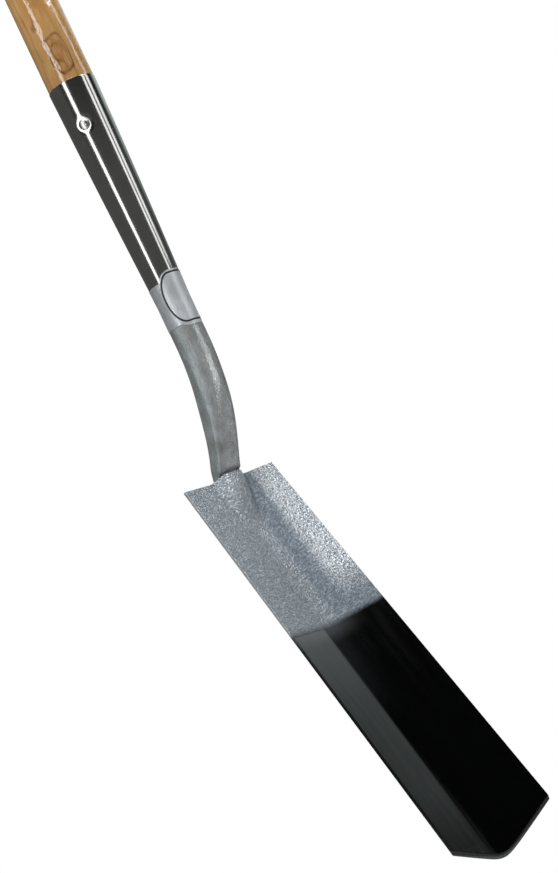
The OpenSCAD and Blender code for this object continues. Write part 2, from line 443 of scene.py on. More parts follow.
def calc(tree, operation, *values, clamp=False):
    inputs = dict(enumerate(values))
    return put(tree, "ShaderNodeMath", inputs, operation=operation, use_clamp=clamp).outputs[0]


def times(tree, a, b):
    return calc(tree, "MULTIPLY", a, b)


def times_plus(tree, a, b, c):
    """Value a times b, plus c."""
    return calc(tree, "MULTIPLY_ADD", a, b, c)


def rest_of(tree, share):
    return calc(tree, "SUBTRACT", 1.0, share)


def vector(tree, operation, *values):
    node = put(tree, "ShaderNodeVectorMath", dict(enumerate(values)), operation=operation)
    return node.outputs["Value" if operation in ("DOT_PRODUCT", "LENGTH") else "Vector"]


def split(tree, place):
    return put(tree, "ShaderNodeSeparateXYZ", {0: place}).outputs


def flat_place(tree, across, along):
    return put(tree, "ShaderNodeCombineXYZ", {0: across, 1: along}).outputs[0]


def turn_of(tree, xyz):
    """Angle round the handle's axis, 0 in front of the hollow face."""
    return calc(tree, "ARCTAN2", xyz[0], times(tree, xyz[1], -1.0))


def blend(tree, share, a, b, mode="MIX"):
    inputs = {0: share, 6: a, 7: b}
    return put(tree, "ShaderNodeMix", inputs, data_type="RGBA", blend_type=mode).outputs[2]


def span(tree, value, low, high, to_low=0.0, to_high=1.0):
    """Smooth step of a value from one range to another."""
    inputs = {0: value, 1: low, 2: high, 3: to_low, 4: to_high}
    return put(tree, "ShaderNodeMapRange", inputs, interpolation_type="SMOOTHSTEP").outputs[0]


def noise(tree, place, scale, detail=2.0, roughness=0.5):
    inputs = {"Vector": place, "Scale": scale, "Detail": detail, "Roughness": roughness}
    return put(tree, "ShaderNodeTexNoise", inputs).outputs[0]


def stretched(tree, place, scale, location=(0, 0, 0), rotation=(0, 0, 0)):
    inputs = {"Vector": place, "Location": location, "Rotation": rotation, "Scale": scale}
    return put(tree, "ShaderNodeMapping", inputs).outputs[0]


def paint(name):
    """New material with its tree, shader and object coordinates."""
    material = bpy.data.materials.new(name)
    material.use_nodes = True
    tree = material.node_tree
    shader = tree.nodes["Principled BSDF"]
    place = put(tree, "ShaderNodeTexCoord").outputs["Object"]
    return material, tree, shader, place


def feed(tree, shader, **sockets):
    fill(tree, shader, {name.replace("_", " "): value for name, value in sockets.items()})


def bumped(tree, height, strength, distance):
    inputs = {"Height": height, "Strength": strength, "Distance": distance}
    return put(tree, "ShaderNodeBump", inputs).outputs[0]


def rgba(colour):
    return (*colour, 1.0)


def darker(colour, share):
    return rgba([c * share for c in colour])


def group(name, inputs, outputs):
    """New node group with the named sockets."""
    tree = bpy.data.node_groups.new(name, "ShaderNodeTree")
    for label, kind in inputs:
        tree.interface.new_socket(label, in_out="INPUT", socket_type=kind)
    for label, kind in outputs:
        tree.interface.new_socket(label, in_out="OUTPUT", socket_type=kind)
    return tree, tree.nodes.new("NodeGroupInput").outputs, tree.nodes.new("NodeGroupOutput").inputs


VECTOR, FLOAT = "NodeSocketVector", "NodeSocketFloat"


def hammer_group():
    """Hammer finish: beads of paint with thin hollows between them, and a slow change of tone."""
    known = bpy.data.node_groups.get("Hammer finish")
    if known:
        return known
    tree, given, out = group(
        "Hammer finish",
        [("Vector", VECTOR), ("Cells", FLOAT)],
        [("Height", FLOAT), ("Hollow", FLOAT), ("Tone", FLOAT)],
    )
    place, cells = given["Vector"], given["Cells"]
    drift = put(tree, "ShaderNodeTexNoise", {"Vector": place, "Scale": cells, "Detail": 2.0})
    inputs = {0: drift.outputs[1], "Scale": calc(tree, "DIVIDE", 1.1, cells)}
    shift = put(tree, "ShaderNodeVectorMath", inputs, operation="SCALE").outputs["Vector"]
    drifted = vector(tree, "ADD", place, shift)
    voronoi = put(tree, "ShaderNodeTexVoronoi", {"Vector": drifted, "Scale": cells})
    beads = voronoi.outputs["Distance"]
    grain = noise(tree, place, times(tree, cells, 2.2), 2.0, 0.6)
    dome = rest_of(tree, times(tree, beads, beads))
    hollow = times_plus(tree, grain, -0.5, calc(tree, "ADD", beads, 0.25))
    tree.links.new(times_plus(tree, grain, 0.35, dome), out["Height"])
    tree.links.new(span(tree, hollow, 0.22, 0.70), out["Hollow"])
    tree.links.new(noise(tree, place, times(tree, cells, 0.05), 3.0, 0.55), out["Tone"])
    return tree


def scratch_group():
    """Fine lengthwise marks of polishing."""
    known = bpy.data.node_groups.get("Polish marks")
    if known:
        return known
    inputs = [("Vector", VECTOR), ("Fineness", FLOAT)]
    tree, given, out = group("Polish marks", inputs, [("Marks", FLOAT)])
    drawn_out = stretched(tree, given["Vector"], (1.0, 1.0, 0.015))
    tree.links.new(noise(tree, drawn_out, given["Fineness"], 3.0, 0.6), out["Marks"])
    return tree


def use(tree, made, **inputs):
    return put(tree, "ShaderNodeGroup", inputs, node_tree=made).outputs


# Finishes

def ash_finish(sizes, colours):
    """Lacquered ash, flat sawn: growth rings that run out in an uneven flame above the socket."""
    material, tree, shader, place = paint("lacquered_ash")
    dark, pore = rgba(colours.ash_dark), rgba(colours.ash_pore)

    def grain(along, scale, detail, roughness=0.5, shift=(0, 0, 0)):
        """Noise drawn out along the handle."""
        drawn_out = stretched(tree, place, (1.0, 1.0, along), shift)
        return noise(tree, drawn_out, scale, detail, roughness)

    def between(value, rise, fall):
        """Line where a value lies between its rise and its fall."""
        return times(tree, span(tree, value, *rise), span(tree, value, *fall, 1.0, 0.0))

    wander = grain(0.22, 38.0, 2.0)
    centred = stretched(tree, place, (1.0, 1.0, 0.0), (-PITH[0] * MM, -PITH[1] * MM, 0.0))
    sway = times_plus(tree, wander, 0.010, -0.005)
    depth = calc(tree, "ADD", vector(tree, "LENGTH", centred), sway)
    years = calc(tree, "FRACT", calc(tree, "DIVIDE", depth, sizes.ring_pitch))
    band = between(years, (0.35, 0.93), (0.93, 1.0))
    fibres = grain(0.03, 1500.0, 2.0, 0.6)
    pores = span(tree, grain(0.05, 900.0, 1.0), 0.60, 0.72)
    patches = grain(0.35, 120.0, 4.0, 0.65)
    tone = blend(tree, times(tree, band, 0.40), rgba(colours.ash_light), dark)
    tone = blend(tree, span(tree, patches, 0.35, 0.70, 0.0, 0.75), tone, rgba(colours.ash_deep))
    tone = blend(tree, span(tree, fibres, 0.3, 0.75, 0.0, 0.3), tone, dark)
    tone = blend(tree, times(tree, pores, times_plus(tree, band, 0.35, 0.08)), tone, pore)

    # Thin wandering veins, broken off here and there
    ridge = grain(0.16, 75.0, 2.0, shift=(0.3, 0.1, 0.2))
    gaps = grain(0.5, 60.0, 2.0, shift=(0.7, 0.4, 0.1))
    away = calc(tree, "ABSOLUTE", calc(tree, "SUBTRACT", ridge, 0.5))
    vein = span(tree, away, 0.004, 0.022, 1.0, 0.0)
    tone = blend(tree, times(tree, vein, span(tree, gaps, 0.50, 0.68, 0.0, 0.55)), tone, pore)

    # The flame above the socket: an outer and an inner grain line with brown patches between
    xyz = split(tree, place)
    across = times_plus(tree, turn_of(tree, xyz), HANDLE_R * MM, FLAME_TURN * HANDLE_R * MM)
    flat = flat_place(tree, across, calc(tree, "SUBTRACT", xyz[2], FLAME_UP * MM))
    halves = (1 / (FLAME_HALF_W * MM), 1 / (FLAME_HALF_H * MM), 0.0)
    flame = vector(tree, "LENGTH", vector(tree, "MULTIPLY", flat, halves))
    twist = grain(0.4, 120.0, 1.0)
    flame = times_plus(tree, wander, 0.8, calc(tree, "ADD", flame, -0.40))
    flame = times_plus(tree, twist, 0.8, calc(tree, "ADD", flame, -0.40))
    outer = between(flame, (0.84, 0.97), (0.99, 1.10))
    inner = between(flame, (0.50, 0.62), (0.63, 0.72))
    inner = times(tree, inner, span(tree, patches, 0.45, 0.60))
    broken = span(tree, gaps, 0.35, 0.58, 0.30, 1.0)
    line = times(tree, calc(tree, "ADD", outer, inner), broken)
    inside = span(tree, flame, 0.70, 1.05, 1.0, 0.0)
    blots = span(tree, grain(0.4, 190.0, 3.0, 0.6), 0.40, 0.62, 0.15, 0.85)
    tone = blend(tree, times(tree, inside, blots), tone, dark)
    tone = blend(tree, times(tree, line, 0.80), tone, pore)

    dents = grain(0.7, 300.0, 1.5, 0.55)
    waves = grain(0.6, 60.0, 1.0)
    height = times_plus(tree, waves, 2.4, times_plus(tree, fibres, 0.15, dents))
    height = times_plus(tree, line, -0.06, height)
    rough = span(tree, fibres, 0.2, 0.8, 0.05, 0.11)
    feed(tree, shader, Base_Color=tone, Roughness=rough, IOR=2.3,
         Normal=bumped(tree, height, 0.36, 0.0008))
    return material


def steel_finish(colours):
    """Polished steel with fine lengthwise marks."""
    material, tree, shader, place = paint("polished_steel")
    marks = use(tree, scratch_group(), Vector=place, Fineness=2600.0)["Marks"]
    cloud = noise(tree, place, 45.0, 3.0, 0.6)
    dim = darker(colours.steel, 0.9)
    tone = blend(tree, span(tree, cloud, 0.35, 0.7), rgba(colours.steel), dim)
    rough = calc(tree, "ADD", span(tree, marks, 0.3, 0.7, 0.11, 0.15),
                 span(tree, cloud, 0.4, 0.7, 0.0, 0.02))
    feed(tree, shader, Base_Color=tone, Metallic=1.0, Roughness=rough,
         Normal=bumped(tree, marks, 0.03, 0.0002))
    return material


def rivet_finish(colours):
    """Bright steel of the rivet, slightly hammered."""
    material, tree, shader, place = paint("rivet_steel")
    marks = use(tree, scratch_group(), Vector=place, Fineness=1800.0)["Marks"]
    dents = noise(tree, place, 500.0, 2.0, 0.5)
    dim = darker(colours.rivet, 0.85)
    tone = blend(tree, span(tree, dents, 0.35, 0.7), rgba(colours.rivet), dim)
    rough = span(tree, marks, 0.3, 0.7, 0.16, 0.28)
    feed(tree, shader, Base_Color=tone, Metallic=1.0, Roughness=rough,
         Normal=bumped(tree, dents, 0.15, 0.0006))
    return material


def neck_finish(sizes, colours, name="neck_paint"):
    """Grey hammer paint on tube, a little worn."""
    material, tree, shader, place = paint(name)
    hammer = use(tree, hammer_group(), Vector=place, Cells=1.0 / sizes.neck_cell)
    stains = noise(tree, place, 60.0, 4.0, 0.65)
    specks = noise(tree, place, 750.0, 3.0, 0.65)
    dents = noise(tree, stretched(tree, place, (1.0, 1.0, 0.6)), 130.0, 2.0, 0.5)
    stain = rgba(colours.neck_stain)
    tone = blend(tree, span(tree, hammer["Tone"], 0.3, 0.7), rgba(colours.neck_grey),
                 darker(colours.neck_grey, 0.85))
    tone = blend(tree, span(tree, stains, 0.50, 0.74, 0.0, 0.60), tone, stain)
    tone = blend(tree, span(tree, specks, 0.50, 0.68, 0.0, 0.55), tone, stain)
    tone = blend(tree, span(tree, dents, 0.35, 0.65, 0.42, 0.0), tone, stain)
    height = times_plus(tree, dents, 2.0, times(tree, hammer["Height"], 1.2))
    rough = span(tree, specks, 0.35, 0.65, 0.20, 0.30)
    feed(tree, shader, Base_Color=tone, Metallic=0.25, Roughness=rough,
         Normal=bumped(tree, height, 0.19, 0.0009))
    return material


def blade_finish(sizes, colours):
    """Grey hammer paint above the dip line with painted highlight and painted shade, glossy black
    below it, bare steel on the edges.
    """
    material, tree, shader, place = paint("blade_paint")
    shade, grey, dip = rgba(colours.blade_shade), rgba(colours.blade_grey), sizes.dip_line

    def mark(name):
        """Value that the blade's mesh carries at each point."""
        return put(tree, "ShaderNodeAttribute", attribute_name=name).outputs["Fac"]

    # Distance below the top edge, with a ragged line where the black begins
    wide = split(tree, place)[0]
    below = vector(tree, "DOT_PRODUCT", place, (0.0, DOWN[0], DOWN[1]))
    top = (BLADE_ORIGIN[0] * DOWN[0] + BLADE_ORIGIN[1] * DOWN[1]) * MM
    ragged = noise(tree, place, 160.0, 3.0, 0.6)
    line = times_plus(tree, ragged, 0.0022, calc(tree, "SUBTRACT", below, top + 0.0011))
    dipped = span(tree, line, dip - 0.0030, dip + 0.0036)
    undipped = rest_of(tree, dipped)
    rim = times(tree, span(tree, line, dip - 0.004, dip),
                span(tree, line, dip, dip + 0.004, 1.0, 0.0))

    # Grey with flecks and blotches; a painted highlight of bright flecks on the outer strip of the
    # right wing and the frog's top, and painted shade in the trough
    hammer = use(tree, hammer_group(), Vector=place, Cells=1.0 / sizes.hammer_cell)
    # The mark from the mesh: painted highlight where positive, painted shade where negative
    rub = mark("rub")
    painted_shade = calc(tree, "MULTIPLY", rub, -1.0, clamp=True)
    flecks = noise(tree, place, 820.0, 2.0, 0.6)
    blotches = noise(tree, place, 300.0, 3.0, 0.65)
    tone = blend(tree, span(tree, hammer["Tone"], 0.3, 0.7), grey, darker(colours.blade_grey, 0.88))
    tone = blend(tree, span(tree, flecks, 0.36, 0.58, 0.30, 0.0), tone, shade)
    tone = blend(tree, span(tree, blotches, 0.40, 0.58, 0.68, 0.0), tone, shade)
    # Painted shade: the hollows between the paint's beads are coloured darker, less so where the
    # trough has painted shade
    hollow = times(tree, hammer["Hollow"], times_plus(tree, painted_shade, -0.5, 1.0))
    tone = blend(tree, hollow, tone, shade)
    # Painted shade multiplied in on the trough's right side
    tone = blend(tree, painted_shade, tone, rgba(colours.trough_painted_shade), "MULTIPLY")
    # Painted highlight: bright flecks where the mesh marks it
    painted_glints = blend(tree, span(tree, flecks, 0.41, 0.52), shade, rgba(colours.blade_painted_glint))
    tone = blend(tree, rub, tone, painted_glints)
    tone = blend(tree, times(tree, rim, 0.25), tone, shade)

    # Black with faint lengthwise smears on the left wing, and grey mist and haze below the line
    smears = noise(tree, flat_place(tree, wide, times(tree, below, 0.07)), 190.0, 3.0, 0.6)
    smeared = times(tree, span(tree, smears, 0.40, 0.70),
                    span(tree, wide, -0.018, -0.006, 1.0, 0.0))
    mist = times(tree, span(tree, line, dip, dip + 0.018, 0.11, 0.0),
                 span(tree, wide, -0.006, 0.032, 1.0, 0.0))
    haze = times(tree, span(tree, line, dip, dip + 0.10, 0.020, 0.0),
                 span(tree, wide, -0.008, 0.016, 1.0, 0.0))
    black = blend(tree, smeared, rgba(colours.dip_black), rgba(colours.dip_smear))
    black = blend(tree, calc(tree, "ADD", mist, haze), black, grey)
    tone = blend(tree, dipped, tone, black)

    # Worn rim, and the ground strip along the cutting edge, rubbed bare most at the point
    chips = noise(tree, place, 700.0, 3.0, 0.65)
    worn = times(tree, span(tree, calc(tree, "ADD", mark("edge"), chips), 1.1, 1.5),
                 span(tree, dipped, 0.0, 1.0, 0.75, 0.0))
    tone = blend(tree, worn, tone, rgba(colours.bare_steel))
    ground = times_plus(tree, chips, 0.5, calc(tree, "SUBTRACT", mark("ground"), 0.25))
    side = calc(tree, "ABSOLUTE", wide)
    rubbed = times(tree, span(tree, ground, 0.25, 0.6), span(tree, side, 0.004, 0.050, 1.0, 0.55))
    tone = blend(tree, rubbed, tone, rgba(colours.ground_edge))

    rough_grey = times_plus(tree, painted_shade, 0.25, span(tree, hammer["Hollow"], 0.0, 1.0, 0.24, 0.36))
    rough_black = span(tree, smears, 0.3, 0.7, 0.06, 0.11)
    rough = calc(tree, "ADD", times(tree, rough_grey, undipped), times(tree, rough_black, dipped))
    rough = times_plus(tree, rubbed, 0.35, rough)
    relief = calc(tree, "MAXIMUM", times_plus(tree, rub, 1.2, 1.0), 0.8)
    height = times(tree, times_plus(tree, blotches, 0.8, hammer["Height"]), undipped)
    height = times(tree, height, relief)
    feed(tree, shader, Base_Color=tone, Metallic=times(tree, undipped, 0.32), Roughness=rough,
         Normal=bumped(tree, height, 0.50, 0.0011))
    return material


def foil_finish(sizes, colours):
    """Silver foil with a dark line inside the badge's edge."""
    material, tree, shader, place = paint("label_foil")
    xyz = split(tree, place)
    arc = times(tree, turn_of(tree, xyz), (NECK_R + FOIL_T) * MM)
    flat = flat_place(tree, arc, calc(tree, "ADD", xyz[2], SOCKET_LEN * MM))
    # The line is straight above and below, and a half ellipse at either end
    ends = (1 / (LINE_END * MM), 1 / (LINE_TALL * MM), 0)
    past = vector(tree, "SUBTRACT", vector(tree, "ABSOLUTE", flat), (LINE_STRAIGHT * MM, 0, 0))
    share = vector(tree, "MULTIPLY", vector(tree, "MAXIMUM", past, (0, 0, 0)), ends)
    slope = vector(tree, "LENGTH", vector(tree, "MULTIPLY", share, ends))
    reach = vector(tree, "LENGTH", share)
    off = calc(tree, "ABSOLUTE", calc(tree, "SUBTRACT", reach, 1.0))
    away = calc(tree, "DIVIDE", times(tree, off, reach), calc(tree, "MAXIMUM", slope, 0.001))
    ink = span(tree, away, sizes.ink_line * 0.35, sizes.ink_line * 0.65, 1.0, 0.0)
    turned = stretched(tree, place, (1, 1, 1), rotation=(0.0, 1.3, 0.4))
    marks = use(tree, scratch_group(), Vector=turned, Fineness=900.0)["Marks"]
    creases = noise(tree, place, 120.0, 3.0, 0.6)
    dim = darker(colours.foil, 0.8)
    tone = blend(tree, span(tree, marks, 0.3, 0.7, 0.0, 0.35), rgba(colours.foil), dim)
    tone = blend(tree, ink, tone, rgba(colours.ink))
    metal = span(tree, ink, 0.0, 1.0, 0.6, 0.0)
    rough = span(tree, creases, 0.3, 0.7, 0.34, 0.48)
    feed(tree, shader, Base_Color=tone, Metallic=metal, Roughness=rough,
         Normal=bumped(tree, creases, 0.12, 0.0008))
    return material


# Sizes and colours a user would change

def length(name, about, default):
    return FloatProperty(name=name, description=about, default=default, unit="LENGTH", precision=5)


def colour(name, about, default):
    return FloatVectorProperty(name=name, description=about, default=default, subtype="COLOR",
                               min=0.0, max=1.0)


def power(name, about, default):
    return FloatProperty(name=name, description=about, default=default, unit="POWER")


class SpadeSizes(bpy.types.PropertyGroup):
    """Sizes of the finished pieces' details"""

    edge_round: length("Edge rounding", "Rounding along the blade's rim", 0.00042)
    corner_round: length("Corner rounding", "Radius of the blade's two lower corners", 0.0005)
    dip_line: length("Dip line", "Distance of the black paint below the blade's top edge", 0.140)
    hammer_cell: length("Blade cells", "Size of the hammer paint's cells on the blade", 0.0019)
    neck_cell: length("Neck cells", "Size of the hammer paint's cells on the neck", 0.0013)
    dimple_depth: length("Dimple depth", "Depth of the dimple under the rivet's head", 0.00085)
    dimple_r: length("Dimple radius", "Radius of the dimple round the rivet", 0.0076)
    lip_round: length("Lip rounding", "Rounding of the socket's mouth", 0.00004)
    weld_pitch: length("Weld pitch", "Distance between the ripples of the welds", 0.0034)
    weld_ripple: length("Weld ripple", "Height of the ripples of the welds", 0.0004)
    ring_pitch: length("Ring pitch", "Distance between the growth rings of the ash", 0.0036)
    ink_line: length("Line width", "Width of the dark line on the label", 0.0015)


class SpadeColours(bpy.types.PropertyGroup):
    """Colours of the finishes"""

    ash_light: colour("Ash", "Early wood of the ash", (0.62, 0.365, 0.140))
    ash_dark: colour("Ash bands", "Late wood of the ash", (0.33, 0.135, 0.032))
    ash_deep: colour("Ash patches", "Darker patches of the ash", (0.48, 0.25, 0.080))
    ash_pore: colour("Ash pores", "Pores of the ash", (0.15, 0.048, 0.009))
    steel: colour("Socket steel", "Polished steel of the socket", (0.56, 0.56, 0.55))
    rivet: colour("Rivet steel", "Steel of the rivet", (0.60, 0.60, 0.59))
    neck_grey: colour("Neck grey", "Hammer paint of the neck", (0.33, 0.355, 0.355))
    neck_stain: colour("Neck stain", "Stains on the neck's paint", (0.13, 0.135, 0.13))
    blade_grey: colour("Blade grey", "Hammer paint of the blade", (0.64, 0.70, 0.775))
    # Darker grey of the hammer paint's flecks and blotches, and painted shade in its hollows
    blade_shade: colour("Blade shade", "Hollows of the blade's hammer paint", (0.28, 0.315, 0.35))
    # Tint multiplied in as painted shade on the trough's right side
    trough_painted_shade: colour("Blade dull", "Tint of the duller strip in the trough", (0.40, 0.45, 0.49))
    # Colour of the painted highlight on the right wing's outer strip and the frog's top
    blade_painted_glint: colour("Blade bright", "Glinting strip of the hammer paint", (0.88, 0.94, 1.0))
    dip_black: colour("Dip black", "Glossy paint of the lower blade", (0.0012, 0.0014, 0.0014))
    dip_smear: colour("Dip smears", "Faint smears in the glossy black", (0.010, 0.013, 0.012))
    bare_steel: colour("Bare steel", "Worn edges of the blade", (0.55, 0.55, 0.54))
    ground_edge: colour("Ground edge", "Strip along the cutting edge", (0.115, 0.125, 0.112))
    foil: colour("Foil", "Silver of the label", (0.68, 0.72, 0.75))
    ink: colour("Line", "Dark line on the label", (0.015, 0.015, 0.017))


class SpadeStage(bpy.types.PropertyGroup):
    """Light and floor"""

    side_light: power("Side light", "Power of the tall light on the left", 3.6)
    strip_light: power("Strip lights", "Power of each tall light in front at the right", 0.56)
    wing_light: power("Wing light", "Power of the far light for the blade's right wing", 10.0)
    front_light: power("Front light", "Power of the high light in front", 45.0)
    back_light: power("Back light", "Power of the high light behind", 30.0)
    low_light: power("Low light", "Power of the small light at the neck's lower right", 0.1)
    neck_light: power("Neck light", "Power of the narrow light in front of the neck", 1.0)
    left_light: power("Left light", "Power of the cool light at the neck's left", 3.5)
    shaft_light: power("Shaft light", "Power of the soft light at the handle's left", 5.0)
    shaft_fill: power("Shaft fill", "Power of the soft light at the handle's right", 14.0)
    left_tint: colour("Left tint", "Colour of the light at the neck's left", (0.86, 0.95, 1.0))
    card_tint: colour("Card tint", "Colour of the pale card at the right", (0.90, 1.0, 0.98))
    card_light: FloatProperty(name="Card", description="Brightness of the card", default=1.0)
    room: colour("Room", "Tone of the room that the steel mirrors", (0.098, 0.101, 0.097))
    floor: colour("Floor", "Tone of the floor as the spade mirrors it", (0.55, 0.55, 0.55))


# Pieces

def press_dimples(piece, sizes):
    """Sinks the surface round both ends of the rivet."""
    place = rivet_place()
    inverse = place.inverted()
    flat = DIMPLE_FLAT_R * MM
    for vertex in piece.data.vertices:
        local = inverse @ vertex.co
        away = math.hypot(local.x, local.y)
        if away < sizes.dimple_r and abs(local.z) > flat:
            sink = sizes.dimple_depth * (1 - ease((away - flat) / (sizes.dimple_r - flat)))
            local.z -= math.copysign(sink, local.z)
            vertex.co = place @ local


class SPADE_OT_handle(bpy.types.Operator):
    """Turn the ash handle with its tenon and its rounded end"""

    bl_idname = "spade.handle"
    bl_label = "Handle"

    def execute(self, context):
        sizes, colours = context.scene.spade_sizes, context.scene.spade_colours
        drops = [TENON_LEN, 120, 90, 64, 52, *reversed(NEAR_RIVET), 18, 8, 0.4]
        tenon = [(socket_r(d) - TENON_INSET, -d) for d in drops]
        shoulder = [(HANDLE_R - inset, z) for inset, z in SHOULDER]
        shaft = [(HANDLE_R, z) for z in HANDLE_RINGS]
        flat_r, end_z = HANDLE_R - HANDLE_END_R, HANDLE_LEN - HANDLE_END_R
        end = [(flat_r + HANDLE_END_R * cos(a), end_z + HANDLE_END_R * sin(a))
               for a in range(0, 91, 6)]
        side = [(0, -TENON_LEN), *tenon, *shoulder, *shaft, *end, (0, HANDLE_LEN)]
        piece = lathe("ash_handle", side, ROUND_STEPS)
        press_dimples(piece, sizes)
        bore(piece, HANDLE_R * 4)
        finish_piece(piece, ash_finish(sizes, colours), "ash", 30, "handle")
        return {"FINISHED"}


class SPADE_OT_socket(bpy.types.Operator):
    """Turn the polished socket and press the dimples for the rivet"""

    bl_idname = "spade.socket"
    bl_label = "Socket"

    def execute(self, context):
        sizes, colours = context.scene.spade_sizes, context.scene.spade_colours
        lip = sizes.lip_round / MM
        drops = [0.35, 0.7, 2, 6, 12, 18, 23, *NEAR_RIVET, 52, 58, *range(66, 190, 8)]
        outer = [(socket_r(d), -d) for d in drops]
        inner = [(r - SOCKET_WALL, z) for r, z in reversed(outer)]
        mouth_in = MOUTH_R - SOCKET_WALL
        mouth = [(mouth_in, -lip), (mouth_in + lip * 0.3, -lip * 0.3), (mouth_in + lip, 0),
                 (MOUTH_R - lip, 0), (MOUTH_R - lip * 0.3, -lip * 0.3), (MOUTH_R, -lip)]
        foot = [(NECK_R, -SOCKET_LEN), (NECK_R - SOCKET_WALL, -SOCKET_LEN)]
        side = [*mouth, *outer, *foot, *inner, mouth[0]]
        piece = lathe("steel_socket", side, ROUND_STEPS)
        press_dimples(piece, sizes)
        bore(piece, MOUTH_R * 4)
        finish_piece(piece, steel_finish(colours), "polished_steel", 40, "socket")
        return {"FINISHED"}


class SPADE_OT_rivet(bpy.types.Operator):
    """Turn the rivet with a domed head at both ends"""

    bl_idname = "spade.rivet"
    bl_label = "Rivet"

    def execute(self, context):
        sizes, colours = context.scene.spade_sizes, context.scene.spade_colours
        seat = outer_r(RIVET_DROP) - sizes.dimple_depth / MM
        reach = seat + RIVET_HEAD_H
        dome = [(RIVET_HEAD_R * sin(a), reach - RIVET_DOME * (1 - cos(a))) for a in range(4, 91, 7)]
        head = [(0, reach), *dome, (RIVET_HEAD_R, seat), (RIVET_R, seat)]
        side = head + [(RIVET_R, 0)] + [(r, -h) for r, h in reversed(head)]
        piece = lathe("steel_rivet", side, RIVET_STEPS)
        place = rivet_place()
        # The underside of each head follows the socket's round side
        for vertex in piece.data.vertices:
            away = math.hypot(vertex.co.x, vertex.co.y)
            on_head = MM < abs(vertex.co.z) < (seat + RIVET_RIM) * MM
            if on_head and away > (RIVET_R - RIVET_GAP) * MM:
                world = place @ Vector((vertex.co.x, vertex.co.y, 0))
                across = math.hypot(world.x, world.y)
                ring = outer_r(-world.z / MM) * MM
                drop = ring - math.sqrt(max(ring**2 - across**2, 0))
                vertex.co.z -= math.copysign(drop, vertex.co.z) * min(away / (RIVET_HEAD_R * MM), 1)
        piece.data.transform(place)
        finish_piece(piece, rivet_finish(colours), "rivet_steel", 45, "rivet")
        return {"FINISHED"}


def neck_rings():
    """Rings down the neck's route: (y, z, lean, half width, front and back depth, squareness)."""
    circle = (NECK_R, NECK_R, NECK_R, ROUND_POWER)
    squared = (SQUARE_W, SQUARE_FRONT, SQUARE_BACK, SQUARE_POWER)
    rings = [(0.0, mix(-SOCKET_LEN, BEND_TOP[1], i / STRAIGHT_RINGS), 0.0, *circle)
             for i in range(STRAIGHT_RINGS)]
    for i in range(BEND_RINGS + 1):
        share = i / BEND_RINGS
        s = ease((share - SQUARE_FROM_SHARE) / (1 - SQUARE_FROM_SHARE))
        lean = BEND * share
        place = (BEND_R * (1 - cos(lean)), BEND_TOP[1] - BEND_R * sin(lean))
        rings.append((*place, lean, *(mix(a, b, s) for a, b in zip(circle, squared))))
    for i in range(1, RETURN_RINGS + 1):
        lean = mix(BEND, -TILT, i / RETURN_RINGS)
        rings.append((*return_point(lean), lean, *squared))
    for i in range(1, TAIL_RINGS + 1):
        share = i / TAIL_RINGS
        place = tuple(TAIL_TOP[k] + TAIL_LEN * share * DOWN[k] for k in (0, 1))
        rings.append((*place, -TILT, tail_half(share), *squared[1:]))
    return rings


def tail_half(share):
    return mix(SQUARE_W, TAIL_END_W, ease(share))


def behind_blade(place, lift):
    """Pushes a place back until it lies behind the blade, or a lift further back."""
    away = (place[1] - BLADE_ORIGIN[0], place[2] - BLADE_ORIGIN[1])
    below = away[0] * DOWN[0] + away[1] * DOWN[1]
    behind = -(away[0] * FRONT[0] + away[1] * FRONT[1])
    push = max(back_depth(place[0], below) + SEAT_GAP + lift - behind, 0) if below > -BLADE_T else 0
    return (place[0], place[1] - push * FRONT[0], place[2] - push * FRONT[1])


class SPADE_OT_neck(bpy.types.Operator):
    """Draw the neck down from the socket and flatten its tail behind the blade"""

    bl_idname = "spade.neck"
    bl_label = "Neck"

    def execute(self, context):
        sizes, colours = context.scene.spade_sizes, context.scene.spade_colours
        rings = neck_rings()
        rows = len(rings) - 1

        def spot(around, along):
            y, z, lean, w, f, b, square = rings[round(along * rows)]
            turn = math.tau * around
            c, s = math.cos(turn), math.sin(turn)
            x = w * math.copysign(abs(c) ** (2 / square), c)
            rise = math.copysign(abs(s) ** (2 / square), s)
            deep = rise * (b if rise > 0 else f)
            place = (x, y + deep * cos(lean), z + deep * sin(lean))
            return behind_blade(place, max(rise, 0) * NECK_WALL)

        piece = sheet("bent_neck", NECK_STEPS, rows, spot)
        close_seam(piece)
        # The wall at the open top, and a blind bore inside it
        edit(piece, "VERT")
        mesh = bmesh.from_edit_mesh(piece.data)
        for vertex in mesh.verts:
            vertex.select = vertex.co.z > (-SOCKET_LEN - 0.01) * MM
        mesh.select_flush_mode()
        bmesh.update_edit_mesh(piece.data)
        inner = (NECK_R - NECK_WALL) / NECK_R
        bpy.ops.mesh.extrude_region()
        bpy.ops.transform.resize(value=(inner, inner, 1), center_override=(0, 0, -SOCKET_LEN * MM))
        down = {"value": (0, 0, -NECK_STRAIGHT * MM)}
        bpy.ops.mesh.extrude_region_move(TRANSFORM_OT_translate=down)
        leave()
        fill_ends(piece)
        finish_piece(piece, neck_finish(sizes, colours), "neck_paint", 40, "neck")
        return {"FINISHED"}


def blade_shares():
    """Shares of the way down the blade at which its grid has rows, closer where the shape turns."""
    bevel = BEVEL_LEN / BLADE_LEN
    near = 1 - NEAR_BEVELS * bevel
    shares = [FROG_SHARE * i / FROG_ROWS for i in range(FROG_ROWS)]
    shares += [mix(FROG_SHARE, near, i / FACE_ROWS) for i in range(FACE_ROWS)]
    shares += [mix(near, 1 - bevel, i / NEAR_ROWS) for i in range(NEAR_ROWS)]
    return shares + [mix(1 - bevel, 1, i / BEVEL_ROWS) for i in range(BEVEL_ROWS + 1)]


def place_on_blade(point):
    """Place across, behind and below of a point of the blade's mesh."""
    y, z = point.y / MM - BLADE_ORIGIN[0], point.z / MM - BLADE_ORIGIN[1]
    return point.x / MM, -y * FRONT[0] - z * FRONT[1], y * DOWN[0] + z * DOWN[1]


